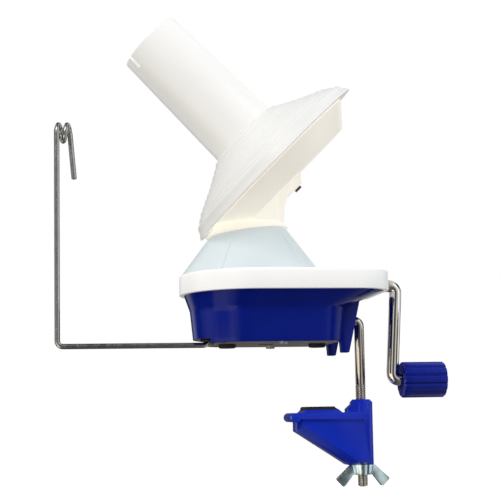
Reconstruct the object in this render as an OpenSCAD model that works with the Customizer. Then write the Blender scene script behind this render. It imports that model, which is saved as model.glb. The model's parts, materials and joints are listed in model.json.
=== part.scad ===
// Hand-cranked yarn ball winder with a table clamp.
// Millimetres. X runs towards the crank, Z is up. The origin is on the rotor's
// upright axis, in the plane of the rubber feet.

/* [Housing] */
// Radius of the cover's round end, around the rotor axis
cover_r = 41.2; // [40:0.1:43]
// Distance from the rotor axis to the cover's crank end
cover_end = 74.1; // [73.5:0.1:74.7]
// Corner radius of the cover at the crank end
cover_corner = 20; // [18:1:22]
// Height of the cover's lower edge
cover_z0 = 30.1; // [29.5:0.1:30.5]
// Height of the cover's top face
cover_z1 = 41.4; // [41:0.1:42]
// Height of the underside of the blue shell above the table
shell_z0 = 2.1; // [2:0.1:2.4]
// Top radius of the fixed gear cone
cone_top_r = 19.2; // [18.8:0.1:19.4]
// Height of the fixed gear cone's top edge
cone_top_z = 69.2; // [68.8:0.1:69.4]

/* [Spindle] */
// Angle of the spindle above the horizontal
tilt = 45; // [45:1:45]
// Height where the spindle's axis meets the rotor axis
apex_z = 120.2; // [120.2:0.1:120.2]
// Outer radius of the winding tube at the yarn plate
tube_r0 = 21.1; // [21:0.1:21.4]
// Outer radius of the winding tube at its open end
tube_r1 = 18.9; // [18.8:0.1:19.4]
// Distance along the spindle from the apex to the tube's open end
tube_end = 80.2; // [78:0.2:82]
// Outer radius of the yarn plate
plate_r = 60.9; // [60.8:0.1:61.3]
// Height of a ridge on the yarn plate
ridge_h = 0.9; // [0.4:0.1:1.2]

/* [Gears] */
// Teeth on the crank's crown gear
crown_teeth = 40; // [40:1:40]
// Teeth on the rotor pinion
pinion_teeth = 13; // [13:1:13]
// Mean radius of the crown gear's teeth
crown_r = 23.4; // [23.4:0.1:23.4]
// Teeth on the fixed sun gear
sun_teeth = 23; // [23:1:23]
// Teeth on the bobbin gear
bobbin_teeth = 22; // [22:1:22]
// Cone distance of the two bevel gears, from the apex to their large ends
bevel_reach = 33.7; // [33.7:0.1:33.7]
// Face width of the bevel gears along their axes
bevel_face = 6; // [5:0.5:6]

/* [Crank] */
// Height of the crank shaft's axis
crank_z = 35.2; // [35:0.1:35.4]
// Diameter of the crank rod
crank_d = 7; // [7:0.1:7]
// Distance between the crank shaft's axis and the grip's axis
crank_throw = 54.4; // [52:0.2:56]
// Length of the grip
grip_len = 25.1; // [24:0.1:27]
// Diameter of the grip
grip_d = 20.6; // [19:0.2:22]

/* [Yarn guide] */
// Diameter of the yarn guide's wire
wire_d = 3.1; // [3:0.1:3.2]
// Distance from the rotor axis to the guide's upright wire
guide_x = 109.6; // [105:0.2:112]
// Height of the middle of the eyelet
eyelet_z = 123.8; // [118:0.2:126]
// Mean radius of the eyelet's turns
eyelet_r = 4.5; // [4.4:0.1:5]

/* [Clamp] */
// Distance from the rotor axis to the clamp bolt
bolt_x = 62.2; // [62:0.1:62.5]
// Height of the bolt's lower end
bolt_z0 = -79.5; // [-84:0.5:-79]
// Height of the jaw's underside
jaw_z0 = -67; // [-67:0.5:-67]
// Height of the jaw's top plate
jaw_top = -37.2; // [-37.2:0.1:-37.2]

/* [Hidden] */
$fn = 96;

wall = 2;
run = 0.05;
crank_r = crank_d / 2;
wire_r = wire_d / 2;
floor_z = shell_z0 + 1.2;
floor_top = floor_z + 2;
post_r = 3;
rotor_r = 5.5;
bush_r = 4.4;
shaft_r = 3;

// gear cone: radius at any height
cone_foot_r = 40;
cone_ring_r = 37.5;
cone_slope = (cone_foot_r - cone_top_r) / (cone_top_z - cover_z1);
function cone_r(z) = cone_top_r + cone_slope * (cone_top_z - z);

// bevel pair: the axes meet at the apex
axis_angle = 90 - tilt;
sun_cone = atan(sin(axis_angle) / (bobbin_teeth / sun_teeth + cos(axis_angle)));
bobbin_cone = axis_angle - sun_cone;
sun_h = bevel_reach * cos(sun_cone);
bobbin_h = bevel_reach * cos(bobbin_cone);
sun_pitch_r = bevel_reach * sin(sun_cone);
bobbin_pitch_r = bevel_reach * sin(bobbin_cone);
bevel_module = 2 * sun_pitch_r / sun_teeth;

// crown gear and rotor pinion
bush_x = 68;
crown_module = 2 * crown_r / crown_teeth;
pinion_r = crown_module * pinion_teeth / 2;
crown_tip_x = pinion_r - 0.8 * crown_module;
crown_root_x = pinion_r + 1.05 * crown_module;
crown_back_x = crown_root_x + 2.7;
hub_end_x = 20;

// stations along the spindle, from the apex towards the crank side
tube_foot_s = -4.3;
rim_s = 21.1;
gap_s = 21.9;
lip_s = 16.5;
pan_in_s = 32;
pan_out_s = 33.8;
boss_s = 39.3;
web_s = -66;
web_t = 3;
tube_bore_r = 18.8;
spigot_s = -12;

// clamp bolt, crank arm and guide
hook_z = 14.9;
hook_bend = 3.4;
bolt_r = 3;
shank_r = 2.8;
thread_top = -22;
thread_pitch = 1;
arm_top_x = 84.5;
arm_foot_x = 81.1;
arm_bend = 4;
arm_lean = atan((arm_top_x - arm_foot_x) / crank_throw);
arm_turn = 90 + arm_lean;
arm_cut = arm_bend * tan(arm_turn / 2);
grip_x = 86.3;
grip_z = crank_z - crank_throw;
pivot_x = -25;
bay_top = 4.9;
guide_z = 1.9;
guide_bend = 3.5;
eyelet_pitch = 4.9;
tail_z = 98.2;
tail_x = -100;

blue = [0.04, 0.1, 0.55];
clamp_blue = [0.09, 0.19, 0.7];
white = [0.96, 0.96, 0.95];
cool_white = [0.88, 0.91, 0.93];
steel = [0.6, 0.6, 0.6];
chrome = [0.8, 0.78, 0.76];
zinc = [0.6, 0.7, 0.78];
nylon = [0.85, 0.83, 0.75];
black = [0.05, 0.05, 0.06];

// ---------- shared shapes ----------

// puts children on the spindle: local Z runs from the apex down to the crank side
module on_spindle() {
    translate([0, 0, apex_z])
        rotate([0, 90 + tilt, 0])
            children();
}

module tube(r_out, r_in, h) {
    difference() {
        cylinder(r = r_out, h = h);
        translate([0, 0, -1])
            cylinder(r = r_in, h = h + 2);
    }
}

// plan of the housing: round at the rotor end, rounded corners at the crank end
module plan(r, end, corner) {
    circle(r = r);
    translate([0, -r])
        square([end - corner, 2 * r]);
    translate([0, corner - r])
        square([end, 2 * (r - corner)]);
    for (side = [-1, 1])
        translate([end - corner, side * (r - corner)])
            circle(r = corner);
}

module slab(r, end, corner, z) {
    translate([0, 0, z])
        linear_extrude(height = 0.1)
            plan(r, end, corner, $fn = 48);
}

// quarter ring in the XZ plane; angles run from +X towards +Z
module elbow(bend, r, from) {
    rotate([90, 0, 0])
        rotate([0, 0, from])
            rotate_extrude(angle = 90)
                translate([bend, 0])
                    circle(r = r, $fn = 40);
}

function unit(v) = v / norm(v);

// points of a ring around a centre, across a direction
function ring_points(centre, along, out, r, sides) =
    let (side = unit(cross(along, out)), flat = cross(side, along))
    [for (k = [0 : sides - 1]) centre + r * (cos(360 * k / sides) * flat + sin(360 * k / sides) * side)];

// closed skin over a row of such rings
module ring_skin(points, sides) {
    last = len(points) / sides - 1;
    skins = [for (i = [0 : last - 1], k = [0 : sides - 1])
        let (n = (k + 1) % sides)
        each [[i * sides + k, (i + 1) * sides + n, i * sides + n],
            [i * sides + k, (i + 1) * sides + k, (i + 1) * sides + n]]];
    start_cap = [[for (k = [0 : sides - 1]) k]];
    end_cap = [[for (k = [sides - 1 : -1 : 0]) last * sides + k]];
    polyhedron(points = points, faces = concat(skins, start_cap, end_cap));
}

// toothed outline with straight flanks
function tooth_points(n, r, m, add, ded, half) = [
    for (i = [0 : n - 1], k = [0 : 3])
        let (
            low = k == 0 || k == 3,
            side = k < 2 ? -1 : 1,
            rad = low ? r - ded * m : r + add * m,
            w = low ? half + 0.45 * ded : half - 0.45 * add,
            a = 360 * i / n + side * asin(w * m / rad))
        [rad * cos(a), rad * sin(a)]];

// bevel gear: apex at the origin, large end at height h on +Z
module bevel_gear(n, r, h, turn) {
    keep = (h - bevel_face) / h;
    translate([0, 0, h])
        mirror([0, 0, 1])
            rotate([0, 0, turn])
                linear_extrude(height = bevel_face, scale = keep)
                    polygon(tooth_points(n, r, bevel_module, 0.75, 1.05, 0.56));
}

// ---------- housing ----------

waist_z = 20.9;
waist_x = -3.2;

// blue tray with a sloping flange
module shell_walls() {
    hull() {
        translate([waist_x, 0, 0])
            slab(30.4, 50.2, 11, shell_z0);
        translate([waist_x, 0, 0])
            slab(32.2, 52, 12, waist_z);
    }
    hull() {
        translate([waist_x, 0, 0])
            slab(32.2, 52, 12, waist_z);
        slab(cover_r - 2.6, cover_end - 2.6, cover_corner - 2.6, cover_z0 - 0.1);
    }
}

module shell_hollow() {
    hull() {
        translate([waist_x - 0.2, 0, 0])
            slab(28.4, 48.4, 10, floor_top);
        translate([waist_x, 0, 0])
            slab(30.2, 50, 11, waist_z + 1.2);
    }
    hull() {
        translate([waist_x, 0, 0])
            slab(30.2, 50, 11, waist_z + 1.2);
        slab(cover_r - 4.6, cover_end - 4.6, cover_corner - 4.6, cover_z0 + 1.4);
    }
}

// catches the table's edge
module table_stop() {
    rotate([90, 0, 0])
        linear_extrude(height = 4.6)
            polygon([[44.5, 26], [58.5, 26], [51.7, -4], [47.1, -4]]);
}

// plan of the room for the yarn guide's wire, open at the round end; grow widens it
module guide_bay(grow) {
    translate([pivot_x, 0]) {
        circle(r = 5.2 + grow);
        intersection() {
            circle(r = 20.3 + grow);
            translate([-30, -30])
                square([32 + grow, 60]);
        }
    }
}

screw_posts = [[-18, 19], [-18, -19]];
flange_screws = [[56, 24], [56, -24]];
flange_seat = 28.3;
plate_screw_at = [[14, 24], [14, -24]];

module lower_shell() {
    color(blue)
    difference() {
        union() {
            difference() {
                shell_walls();
                shell_hollow();
            }
            for (p = screw_posts)
                translate([p[0], p[1], floor_z])
                    cylinder(r = 4.4, h = cover_z0 - floor_z);
            intersection() {
                shell_walls();
                for (p = flange_screws)
                    translate([p[0], p[1], waist_z])
                        cylinder(r = 4.2, h = cover_z0 - waist_z);
            }
            for (p = plate_screw_at)
                translate([p[0], p[1], floor_z])
                    cylinder(r = 3, h = 6);
            translate([25.6, -8, floor_z])
                cube([4, 16, crank_z + 6 - floor_z]);
            translate([40, 0, hook_z])
                rotate([0, 90, 0])
                    cylinder(r = 5.6, h = 8.5);
            translate([pivot_x, 0, bay_top])
                cylinder(r = 6.4, h = 7);
            // roof over the guide's bay
            translate([0, 0, bay_top])
                linear_extrude(height = 2)
                    intersection() {
                        guide_bay(1.5);
                        translate([waist_x, 0])
                            plan(29.6, 49, 10);
                    }
            translate([0, 0, floor_z])
                cylinder(r = 9, h = 2);
            for (y = [-15.7, 20.3])
                translate([0, y, 0])
                    table_stop();
        }
        // seat of the bottom plate
        translate([waist_x, 0, 0])
            linear_extrude(height = floor_z)
                plan(29, 48.8, 10);
        linear_extrude(height = bay_top)
            guide_bay(0);
        translate([pivot_x, 0, 0])
            cylinder(r = 4.2, h = 20);
        cylinder(r = post_r, h = 20);
        translate([20, 0, crank_z])
            rotate([0, 90, 0])
                cylinder(r = bush_r, h = 20);
        translate([30, 0, hook_z])
            rotate([0, 90, 0])
                cylinder(r = shank_r, h = 40);
        for (p = screw_posts) {
            translate([p[0], p[1], 0])
                cylinder(r = 3.2, h = 12);
            translate([p[0], p[1], 0])
                cylinder(r = 1.5, h = 50);
        }
        for (p = flange_screws) {
            translate([p[0], p[1], 0])
                cylinder(r = 3.1, h = flange_seat);
            translate([p[0], p[1], 0])
                cylinder(r = 1.5, h = 50);
        }
        for (p = plate_screw_at)
            translate([p[0], p[1], 0])
                cylinder(r = 1.3, h = 50);
    }
}

foot_at = [[-14.5, 0], [37.3, 0]];

// galvanised sheet that closes the tray from below
module bottom_plate() {
    color(steel)
    difference() {
        translate([waist_x, 0, shell_z0])
            linear_extrude(height = floor_z - shell_z0)
                plan(28.9, 48.7, 9.9);
        linear_extrude(height = 10)
            guide_bay(0);
        translate([4, -3, 0])
            cube([8, 10, 10]);
        for (p = screw_posts)
            translate([p[0], p[1], 0])
                cylinder(r = 3.2, h = 10);
        for (p = plate_screw_at)
            translate([p[0], p[1], 0])
                cylinder(r = 1.3, h = 10);
    }
}

module rubber_feet() {
    color(black)
    for (p = foot_at)
        translate([p[0], p[1], 0])
            cylinder(r1 = 4.7, r2 = 5.2, h = shell_z0);
}

// white cover: rim, top and the bosses inside
module top_cover() {
    edge = 1.2;
    seat_w = 4.4;
    seat_h = 1.6;
    color(white)
    difference() {
        union() {
            difference() {
                union() {
                    translate([0, 0, cover_z0])
                        linear_extrude(height = cover_z1 - cover_z0 - edge)
                            plan(cover_r, cover_end, cover_corner);
                    hull() {
                        slab(cover_r, cover_end, cover_corner, cover_z1 - edge - 0.1);
                        slab(cover_r - 0.35, cover_end - 0.35, cover_corner - 0.35, cover_z1 - 0.5);
                        slab(cover_r - edge, cover_end - edge, cover_corner - edge, cover_z1 - 0.1);
                    }
                }
                translate([0, 0, cover_z0 + seat_h])
                    linear_extrude(height = cover_z1 - cover_z0 - seat_h - wall)
                        plan(cover_r - wall, cover_end - wall, cover_corner - wall);
                // inner ledge that rests on the shell
                translate([0, 0, cover_z0 - 1])
                    linear_extrude(height = 1.5 + seat_h)
                        plan(cover_r - seat_w, cover_end - seat_w, cover_corner - seat_w);
            }
            for (p = flange_screws)
                translate([p[0], p[1], cover_z0])
                    cylinder(r = 4.2, h = 10);
            translate([bush_x - 0.5, -8, cover_z0 + 0.3])
                cube([cover_end - bush_x - 0.5, 16, 10]);
        }
        translate([0, 0, cover_z0])
            cylinder(r = 37.6, h = 30);
        translate([50, 0, crank_z])
            rotate([0, 90, 0])
                cylinder(r = bush_r, h = 40);
        for (p = flange_screws)
            translate([p[0], p[1], 0])
                cylinder(r = 1.5, h = cover_z1 - wall);
    }
}

// solid outline of the cone, drawn in by an inset
module cone_profile(inset) {
    polygon([[0, cover_z1], [cone_foot_r - inset, cover_z1], [cone_top_r - inset, cone_top_z],
        [0, cone_top_z]]);
}

// posts that the screws pull down onto the shell
module cone_posts() {
    intersection() {
        rotate_extrude()
            union() {
                cone_profile(1.1);
                translate([0, cover_z0])
                    square([cone_ring_r - 0.9, cover_z1 - cover_z0 + 0.5]);
            }
        for (p = screw_posts)
            translate([p[0], p[1], cover_z0])
                cylinder(r = 4.2, h = 40);
    }
}

// white cone over the crown gear, with thin ribs
module gear_cone() {
    color(cool_white)
    difference() {
        union() {
            cone_shell();
            cone_posts();
        }
        for (p = screw_posts)
            translate([p[0], p[1], 0])
                cylinder(r = 1.5, h = 40);
    }
}

module cone_shell() {
    wall_r = 2.3;
    ring_bore = cone_ring_r - 1.8;
    rib_count = 5;
    difference() {
        union() {
            rotate_extrude()
                polygon([[cone_ring_r, cover_z1 - 5], [cone_ring_r, cover_z1], [cone_foot_r, cover_z1],
                    [cone_top_r, cone_top_z], [cone_top_r - wall_r, cone_top_z],
                    [ring_bore, cone_top_z - (ring_bore - cone_top_r + wall_r) / cone_slope],
                    [ring_bore, cover_z1 - 5]]);
            for (i = [0 : rib_count - 1])
                rotate([0, 0, 40 - 90 + 360 / rib_count * i])
                    rotate([90, 0, 0])
                        translate([0, 0, -0.6])
                            linear_extrude(height = 1.2)
                                polygon([[cone_foot_r - 2, cover_z1], [cone_foot_r + 0.5, cover_z1],
                                    [cone_r(60.4) + 0.5, 60.4], [cone_r(60.4) - 1, 60.4]]);
        }
        // passage for the crank shaft
        translate([30, 0, crank_z])
            rotate([0, 90, 0])
                cylinder(r = crank_r + 1, h = 10);
    }
}

// ---------- fixed rotor post ----------

post_top = apex_z - sun_h + 7;

module centre_post() {
    color(steel)
    difference() {
        union() {
            translate([0, 0, floor_z])
                cylinder(r = post_r, h = post_top - floor_z);
            translate([0, 0, floor_top])
                cylinder(r = 8.5, h = 1);
        }
        translate([0, 0, post_top - 8])
            cylinder(r = 1.5, h = 9);
    }
}

module thrust_washer() {
    color(nylon)
    translate([0, 0, floor_top + 1])
        tube(6.2, post_r + run, 0.8);
}

module sun_gear() {
    color(nylon)
    difference() {
        union() {
            translate([0, 0, apex_z])
                rotate([180, 0, 0])
                    bevel_gear(sun_teeth, sun_pitch_r, sun_h, 0);
            translate([0, 0, post_top - 4])
                cylinder(r = 6, h = 4);
        }
        translate([0, 0, post_top - 20])
            cylinder(r = post_r, h = 40);
    }
}

module sun_gear_screw() {
    color(steel)
    difference() {
        union() {
            translate([0, 0, post_top - 7])
                cylinder(r = 1.5, h = 7);
            translate([0, 0, post_top])
                cylinder(r = 4.6, h = 1);
            translate([0, 0, post_top + 1])
                cylinder(r = 2.8, h = 1.6);
        }
        translate([-3, -0.4, post_top + 1.8])
            cube([6, 0.8, 2]);
    }
}

// ---------- fasteners and bushes in the housing ----------

module pan_screw(length, head_r, head_h) {
    difference() {
        union() {
            translate([0, 0, -head_h])
                cylinder(r = head_r, h = head_h);
            cylinder(r = 1.5, h = length);
        }
        for (a = [0, 90])
            rotate([0, 0, a])
                translate([-head_r * 0.6, -0.4, -head_h - 1])
                    cube([head_r * 1.2, 0.8, 1.8]);
    }
}

module cover_screws() {
    color(steel) {
        for (p = screw_posts)
            translate([p[0], p[1], 12])
                pan_screw(24, 2.9, 1.8);
        for (p = flange_screws)
            translate([p[0], p[1], flange_seat])
                pan_screw(10, 2.9, 1.8);
    }
}

module plate_screws() {
    color(steel)
    for (p = plate_screw_at)
        translate([p[0], p[1], shell_z0])
            difference() {
                union() {
                    translate([0, 0, -1.2])
                        cylinder(r = 2.6, h = 1.2);
                    cylinder(r = 1.3, h = 6);
                }
                for (a = [0, 90])
                    rotate([0, 0, a])
                        translate([-1.6, -0.35, -2])
                            cube([3.2, 0.7, 1.5]);
            }
}

module crank_bushes() {
    color(nylon) {
        translate([24.6, 0, crank_z])
            rotate([0, 90, 0])
                tube(6, crank_r + run, 1);
        translate([25.6, 0, crank_z])
            rotate([0, 90, 0])
                tube(bush_r, crank_r + run, 4);
        translate([bush_x, 0, crank_z])
            rotate([0, 90, 0])
                tube(bush_r, crank_r + run, cover_end - bush_x);
    }
}

module guide_bushing() {
    color(black)
    translate([pivot_x, 0, 0])
        difference() {
            union() {
                translate([0, 0, 3.8])
                    cylinder(r = 4.9, h = 1.1);
                translate([0, 0, 4.9])
                    cylinder(r = 4.2, h = 7.1);
            }
            cylinder(r = wire_r + run, h = 20);
            translate([0, 0, 3])
                cylinder(r = 2.7, h = 2);
        }
}

// threaded end: crests and roots as a revolved outline
function thread_points(r, depth, pitch, z0, z1) = [
    for (i = [0 : floor((z1 - z0) / pitch) - 1], k = [0 : 3])
        let (z = z0 + pitch * i)
        k == 0 ? [r - depth, z] :
        k == 1 ? [r, z + 0.42 * pitch] :
        k == 2 ? [r, z + 0.58 * pitch] : [r - depth, z + 0.98 * pitch]];

module hook_bolt() {
    thread_z = bolt_z0 + 0.6;
    color(steel) {
        translate([bolt_x, 0, 0])
            rotate_extrude()
                polygon(concat([[0, bolt_z0], [bolt_r - 1.1, bolt_z0]],
                    thread_points(bolt_r, 0.55, thread_pitch, thread_z, thread_top),
                    [[shank_r, thread_top + 0.6], [shank_r, hook_z - hook_bend],
                        [0, hook_z - hook_bend]]));
        translate([bolt_x - hook_bend, 0, hook_z - hook_bend])
            elbow(hook_bend, shank_r, 0);
        translate([41, 0, hook_z])
            rotate([0, 90, 0])
                cylinder(r = shank_r, h = bolt_x - hook_bend - 41);
    }
}

// ---------- crank ----------

// one bent rod: shaft, arm that leans out towards its top, and grip axis
module crank_rod() {
    sides = 40;
    bend_steps = 10;
    rod_start = crown_back_x - 2.4;
    clip_x = grip_x + grip_len - 2;
    top_turn = [for (i = [0 : bend_steps]) 90 - arm_turn * i / bend_steps];
    foot_turn = [for (i = [0 : bend_steps]) 180 - arm_lean + arm_turn * i / bend_steps];
    centres = concat([[rod_start, 0, crank_z]],
        [for (a = top_turn)
            [arm_top_x - arm_cut + arm_bend * cos(a), 0, crank_z - arm_bend + arm_bend * sin(a)]],
        [for (a = foot_turn)
            [arm_foot_x + arm_cut + arm_bend * cos(a), 0, grip_z + arm_bend + arm_bend * sin(a)]],
        [[clip_x, 0, grip_z]]);
    alongs = concat([[1, 0, 0]], [for (a = top_turn) [sin(a), 0, -cos(a)]],
        [for (a = foot_turn) [-sin(a), 0, cos(a)]], [[1, 0, 0]]);
    rings = [for (i = [0 : len(centres) - 1])
        each ring_points(centres[i], alongs[i], [0, 1, 0], crank_r, sides)];
    color(chrome)
    difference() {
        ring_skin(rings, sides);
        translate([16, 0, crank_z - 10])
            cylinder(r = 1, h = 20);
    }
}

module crown_gear() {
    inner = crown_r - 2.6;
    outer = crown_r + 2.6;
    half_tip = (0.56 - 0.45 * 0.8) * crown_module;
    half_root = (0.56 + 0.45 * 1.05) * crown_module;
    color(nylon)
    difference() {
        union() {
            translate([crown_root_x, 0, crank_z])
                rotate([0, 90, 0])
                    cylinder(r = outer, h = crown_back_x - crown_root_x);
            translate([crown_back_x, 0, crank_z])
                rotate([0, 90, 0])
                    cylinder(r = 7.5, h = hub_end_x - crown_back_x);
            for (i = [0 : crown_teeth - 1])
                translate([0, 0, crank_z])
                    rotate([360 / crown_teeth * (i + 0.5), 0, 0])
                        translate([0, 0, inner])
                            linear_extrude(height = outer - inner)
                                polygon([[crown_tip_x, -half_tip], [crown_tip_x, half_tip],
                                    [crown_root_x + 0.3, half_root],
                                    [crown_root_x + 0.3, -half_root]]);
        }
        translate([0, 0, crank_z])
            rotate([0, 90, 0])
                cylinder(r = crank_r, h = 60);
        translate([16, 0, crank_z - 20])
            cylinder(r = 1, h = 40);
        for (a = [30 : 60 : 330])
            translate([0, 0, crank_z])
                rotate([a, 0, 0])
                    translate([0, 0, 13.6])
                        rotate([0, 90, 0])
                            cylinder(r = 4, h = 40);
    }
}

module gear_pin() {
    color(steel)
    translate([16, 0, crank_z - 7.5])
        cylinder(r = 1, h = 15, $fn = 32);
}

module stop_collar() {
    color(steel)
    translate([30.2, 0, crank_z])
        rotate([0, 90, 0])
            tube(6, crank_r, 5);
}

module grip_clip() {
    color(steel)
    translate([grip_x + grip_len - 3, 0, grip_z])
        rotate([0, 90, 0])
            tube(5.6, crank_r, 0.8);
}

// fluted grip with domed ends, turning freely on the crank rod
module crank_grip() {
    flutes = 12;
    half = grip_len / 2;
    dome = 0.9;
    r = grip_d / 2;
    color(blue)
    translate([grip_x + half, 0, grip_z])
        rotate([0, 90, 0])
            difference() {
                rotate_extrude()
                    polygon(concat([[0, -half]],
                        [for (a = [0 : 15 : 90]) [r - dome + dome * sin(a), -half + dome - dome * cos(a)]],
                        [for (a = [90 : -15 : 0]) [r - dome + dome * sin(a), half - dome + dome * cos(a)]],
                        [[0, half]]));
                for (i = [0 : flutes - 1])
                    rotate([0, 0, 360 / flutes * (i + 0.5)])
                        translate([r + 0.55, 0, -half - 1])
                            cylinder(r = 1.5, h = grip_len + 2, $fn = 32);
                translate([0, 0, -half - 1])
                    cylinder(r = crank_r + run, h = grip_len + 2);
                translate([0, 0, -half])
                    cylinder(r1 = 6, r2 = crank_r + run, h = 2.6);
                translate([0, 0, half - 3.2])
                    cylinder(r = 6, h = 4);
            }
}

// ---------- rotor and spindle carrier ----------

module rotor_tube() {
    color(steel)
    translate([0, 0, floor_top + 1.8])
        tube(rotor_r, post_r + run, 86 - floor_top - 1.8);
}

module rotor_pinion() {
    color(nylon)
    difference() {
        translate([0, 0, 8.2])
            linear_extrude(height = 7.2)
                polygon(tooth_points(pinion_teeth, pinion_r, crown_module, 0.8, 1.05, 0.56));
        cylinder(r = rotor_r, h = 40);
    }
}

skirt_gap = 0.45;
skirt_t = 1.5;
skirt_z0 = 58;
skirt_z1 = 70.9;
column_r = 20;

// everything on the crank side of a plane across the spindle
module below_plane(s) {
    on_spindle()
        translate([-150, -150, s])
            cube([300, 300, 150]);
}

module carrier_outer() {
    intersection() {
        union() {
            translate([0, 0, skirt_z0])
                cylinder(r1 = cone_r(skirt_z0) + skirt_gap + skirt_t,
                    r2 = cone_r(skirt_z1) + skirt_gap + skirt_t, h = skirt_z1 - skirt_z0);
            translate([0, 0, skirt_z1])
                cylinder(r = column_r - 0.4, h = 30);
            // spine, with the narrower block that carries the spindle's boss
            translate([0, 13, 0])
                rotate([90, 0, 0])
                    linear_extrude(height = 26)
                        polygon([[0, skirt_z1], [15.6, skirt_z1], [21.4, 91], [21.4, 106], [0, 106]]);
            translate([0, 5.5, 0])
                rotate([90, 0, 0])
                    linear_extrude(height = 11)
                        polygon([[8, 84], [23.6, 88.4], [29.2, 94], [29.2, 106], [8, 106]]);
        }
        below_plane(gap_s);
        // the skirt's edge slopes up towards the crank side
        translate([0, 0, 66])
            rotate([0, -6.7, 0])
                translate([-100, -100, 0])
                    cube([200, 200, 100]);
        union() {
            below_plane(pan_in_s);
            translate([0, 0, 50])
                cylinder(r = 27, h = 70);
        }
    }
}

module gear_pan() {
    on_spindle()
        intersection() {
            union() {
                translate([0, 0, gap_s])
                    cylinder(r1 = 53.2, r2 = 42.3, h = pan_out_s - gap_s);
                translate([0, 0, lip_s])
                    cylinder(r = 52.6, h = gap_s + 0.2 - lip_s);
            }
            translate([-100, -100, 0])
                cube([153, 200, 100]);
            // trimmed where it passes the rotor's skirt
            translate([35.5, 0, pan_out_s])
                rotate([0, -50, 0])
                    translate([-200, -100, -100])
                        cube([200, 200, 200]);
        }
}

module gear_pan_hollow() {
    on_spindle() {
        translate([0, 0, gap_s])
            cylinder(r1 = 51.2, r2 = 42, h = pan_in_s - gap_s);
        translate([0, 0, 10])
            cylinder(r = 50.8, h = gap_s - 9.9);
    }
}

module carrier_shell() {
    color(white)
    difference() {
        union() {
            difference() {
                union() {
                    carrier_outer();
                    gear_pan();
                }
                difference() {
                    gear_pan_hollow();
                    translate([0, 0, 50])
                        tube(column_r - 0.4, column_r - 2.2, 40);
                }
                // under the skirt
                translate([0, 0, skirt_z0])
                    cylinder(r1 = cone_r(skirt_z0) + skirt_gap, r2 = cone_r(skirt_z1) + skirt_gap,
                        h = skirt_z1 - skirt_z0);
                intersection() {
                    translate([0, 0, skirt_z1 - 1])
                        cylinder(r = column_r - 2.2, h = 40);
                    difference() {
                        translate([-50, -50, 0])
                            cube(200);
                        below_plane(pan_in_s);
                    }
                }
                intersection() {
                    translate([0, 0, skirt_z1 - 1])
                        cylinder(r = column_r - 3.2, h = 40);
                    below_plane(pan_out_s);
                    translate([-50, -50, 0])
                        cube([58, 100, 200]);
                }
            }
            translate([0, 0, skirt_z1 + 0.6])
                cylinder(r = 8.6, h = 14.8);
            on_spindle()
                translate([0, 0, pan_in_s])
                    cylinder(r = 4.2, h = boss_s - pan_in_s);
        }
        cylinder(r = rotor_r, h = 120);
        on_spindle() {
            cylinder(r = shaft_r, h = 37.4);
            cylinder(r = 1.5, h = 60);
        }
    }
}

module spindle_shaft() {
    color(steel)
    on_spindle()
        difference() {
            union() {
                translate([0, 0, -69.5])
                    cylinder(r = shaft_r, h = 37.4 + 69.5);
                translate([0, 0, -70])
                    cylinder(r1 = shaft_r - 0.5, r2 = shaft_r, h = 0.5);
            }
            translate([0, 0, 28])
                cylinder(r = 1.5, h = 20);
        }
}

module spindle_screw() {
    color([0.2, 0.2, 0.2])
    on_spindle()
        difference() {
            union() {
                translate([0, 0, 29])
                    cylinder(r = 1.5, h = boss_s - 29);
                translate([0, 0, boss_s])
                    cylinder(r = 2.2, h = 1.4);
            }
            for (a = [0, 90])
                rotate([0, 0, a])
                    translate([-1.8, -0.4, boss_s + 0.7])
                        cube([3.6, 0.8, 2]);
        }
}

module spindle_washer() {
    color(steel)
    on_spindle()
        translate([0, 0, bobbin_h + 0.1])
            tube(6.2, shaft_r, pan_in_s - bobbin_h - 0.1);
}

module spindle_clip() {
    color(steel)
    on_spindle()
        translate([0, 0, web_s - 1.2])
            tube(5.2, shaft_r, 0.9);
}

// ---------- bobbin ----------

// yarn plate: chosen points of the upper surface, ridged between the first and the last ridge
plate_curve = [[tube_r0, tube_foot_s], [25.3, -1.45], [36.9, 5], [49.8, 11], [57.2, 15.9],
    [plate_r, rim_s]];
ridge_r0 = 22.1;
ridge_pitch = 3.3;
ridge_count = 11;
ridge_steps = 4;

function ridged(r) = lookup(r, plate_curve)
    - ridge_h * abs(sin(180 * (r - ridge_r0) / ridge_pitch));

module yarn_plate() {
    ridge_r1 = ridge_r0 + ridge_pitch * ridge_count;
    top = [for (i = [0 : ridge_count * ridge_steps])
        let (r = ridge_r0 + ridge_pitch * i / ridge_steps) [r, ridged(r)]];
    under = [[58.6, rim_s - 1.6], [55.6, 17], [48.7, 12.8], [36, 7], [24.3, 0.65], [20, -1.8]];
    color(white)
    on_spindle()
        rotate_extrude($fn = 128)
            polygon(concat(
                [[tube_bore_r, tube_foot_s], [tube_r0, tube_foot_s]],
                top,
                [[59.4, 18.9], [60.4, 20.1], [plate_r, rim_s - 0.6], [plate_r - 0.3, rim_s]],
                [[53.8, rim_s], [53.8, rim_s - 1.6]],
                under,
                [[7.4, -1.8], [7.4, 24], [5, 24], [5, tube_foot_s - 1.2], [16.8, tube_foot_s - 1.2]],
                [[16.8, spigot_s], [tube_bore_r, spigot_s]]));
}

module winding_tube() {
    bore_end = tube_bore_r - 1.2;
    color(white)
    on_spindle()
        difference() {
            rotate_extrude($fn = 128)
                polygon([[tube_bore_r, tube_foot_s], [tube_r0, tube_foot_s], [tube_r1, 0.5 - tube_end],
                    [tube_r1 - 0.4, -tube_end], [bore_end + 0.2, -tube_end], [bore_end, 0.4 - tube_end],
                    [bore_end, web_s], [shaft_r + run, web_s], [shaft_r + run, web_s + 10],
                    [7, web_s + 10], [7, web_s + web_t], [bore_end, web_s + web_t],
                    [tube_bore_r, spigot_s]]);
            // slot that catches the yarn's end
            rotate([0, 0, -28])
                translate([15, -1, -tube_end - 1])
                    cube([8, 2, 9]);
        }
}

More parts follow.
